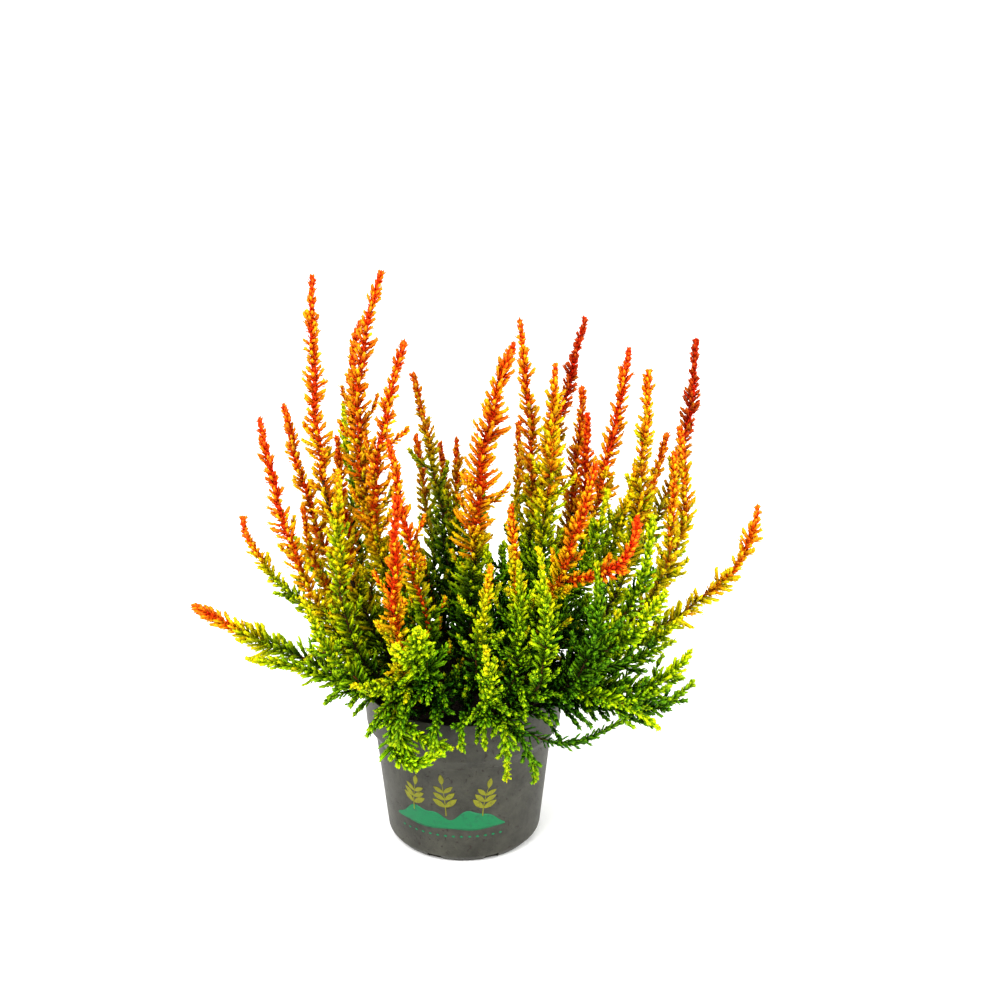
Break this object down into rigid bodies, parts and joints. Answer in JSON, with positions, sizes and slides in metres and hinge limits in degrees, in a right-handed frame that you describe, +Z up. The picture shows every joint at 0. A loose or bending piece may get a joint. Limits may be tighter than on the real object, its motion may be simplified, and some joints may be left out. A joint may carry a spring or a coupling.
{
  "type": "potted heather",
  "caption": "Golden-leaved heather in a dark nursery pot: upright leafy stems with orange tips, lower sprays that reach over the rim, and peat soil.",
  "frame": {"origin": "middle of the pot's flat underside, on the surface that it stands on", "axes": "+Z up, -Y towards the front of the picture, +X to the picture's right"},
  "size_m": [0.3296, 0.2301, 0.3519],
  "materials": {
    "pot_plastic": "moulded dark taupe recycled polypropylene, slightly worn",
    "soil_peat": "loose dark peat",
    "heather_shoots": "living scale leaves, lime to golden with orange tips, on brown wood"
  },
  "bodies": {
    "root": {"pot": "pot_plastic", "soil": "soil_peat", "back_left_a": "heather_shoots", "back_left_b": "heather_shoots", "back_left_c": "heather_shoots", "back_low_a": "heather_shoots", "back_low_b": "heather_shoots", "back_low_c": "heather_shoots", "back_low_d": "heather_shoots", "back_low_e": "heather_shoots", "back_low_f": "heather_shoots", "back_low_g": "heather_shoots", "back_red": "heather_shoots", "back_right_red": "heather_shoots", "back_slim": "heather_shoots", "centre_face": "heather_shoots", "centre_low": "heather_shoots", "front_feather": "heather_shoots", "front_lime": "heather_shoots", "front_long": "heather_shoots", "front_red": "heather_shoots", "front_tuft": "heather_shoots", "left_core": "heather_shoots", "left_crown": "heather_shoots", "left_elbow": "heather_shoots", "left_face": "heather_shoots", "left_inner": "heather_shoots", "left_lime": "heather_shoots", "left_low": "heather_shoots", "left_low_side": "heather_shoots", "left_outer": "heather_shoots", "left_outer_back": "heather_shoots", "left_skirt": "heather_shoots", "left_small": "heather_shoots", "left_tall": "heather_shoots", "left_yellow": "heather_shoots", "mid_big": "heather_shoots", "mid_high": "heather_shoots", "mid_right": "heather_shoots", "mid_small": "heather_shoots", "mid_thin": "heather_shoots", "mid_yellow": "heather_shoots", "right_lime": "heather_shoots", "right_long": "heather_shoots", "right_low": "heather_shoots", "right_mass": "heather_shoots", "right_mass_low": "heather_shoots", "right_orange": "heather_shoots", "right_tall": "heather_shoots", "right_tuft": "heather_shoots", "rim_left": "heather_shoots", "rim_right": "heather_shoots"}
  },
  "joints": []
}
